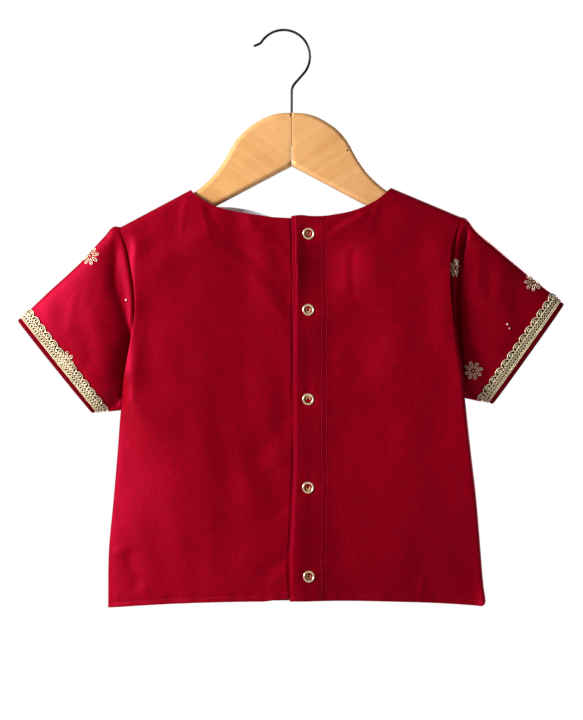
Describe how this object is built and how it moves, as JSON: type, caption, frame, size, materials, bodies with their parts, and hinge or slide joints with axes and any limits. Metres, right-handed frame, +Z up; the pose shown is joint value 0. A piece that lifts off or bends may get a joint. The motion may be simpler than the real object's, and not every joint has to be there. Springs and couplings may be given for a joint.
{
  "type": "child's choli blouse on a wooden hanger",
  "caption": "Short-sleeved child's blouse with a snap placket down its open back, scalloped lace at the cuffs, hung flat on a wooden hanger with a wire hook.",
  "frame": {"origin": "inside top of the hanger hook's bow, where a rail carries it", "axes": "+Z up, -Y toward the viewer of the garment's back with the placket, +Y out of its front, +X to the right as seen from the back"},
  "size_m": [0.4365, 0.0337, 0.4625],
  "materials": {
    "red_cloth": "soft satin, slubby weave",
    "dark_red_binding": "matte",
    "grey_lining": "matte",
    "gold_lace": "metallic thread",
    "gold_snap": "polished gold",
    "beech_wood": "varnished",
    "steel_wire": "dark plated"
  },
  "bodies": {
    "root": {"front": "red_cloth", "back_left": "red_cloth", "back_right": "red_cloth", "overlap_band": "red_cloth", "neck_facing": "grey_lining", "sleeve_left": "red_cloth", "sleeve_right": "red_cloth", "cuff_binding_left": "dark_red_binding", "cuff_binding_right": "dark_red_binding", "cuff_lace_left": "gold_lace", "cuff_lace_right": "gold_lace", "snap_cap_1": "gold_snap", "snap_cap_2": "gold_snap", "snap_cap_3": "gold_snap", "snap_cap_4": "gold_snap", "snap_cap_5": "gold_snap", "snap_stud_1": "gold_snap", "snap_stud_2": "gold_snap", "snap_stud_3": "gold_snap", "snap_stud_4": "gold_snap", "snap_stud_5": "gold_snap", "hanger_arm_left": "beech_wood", "hanger_arm_right": "beech_wood", "hook": "steel_wire"}
  },
  "joints": []
}
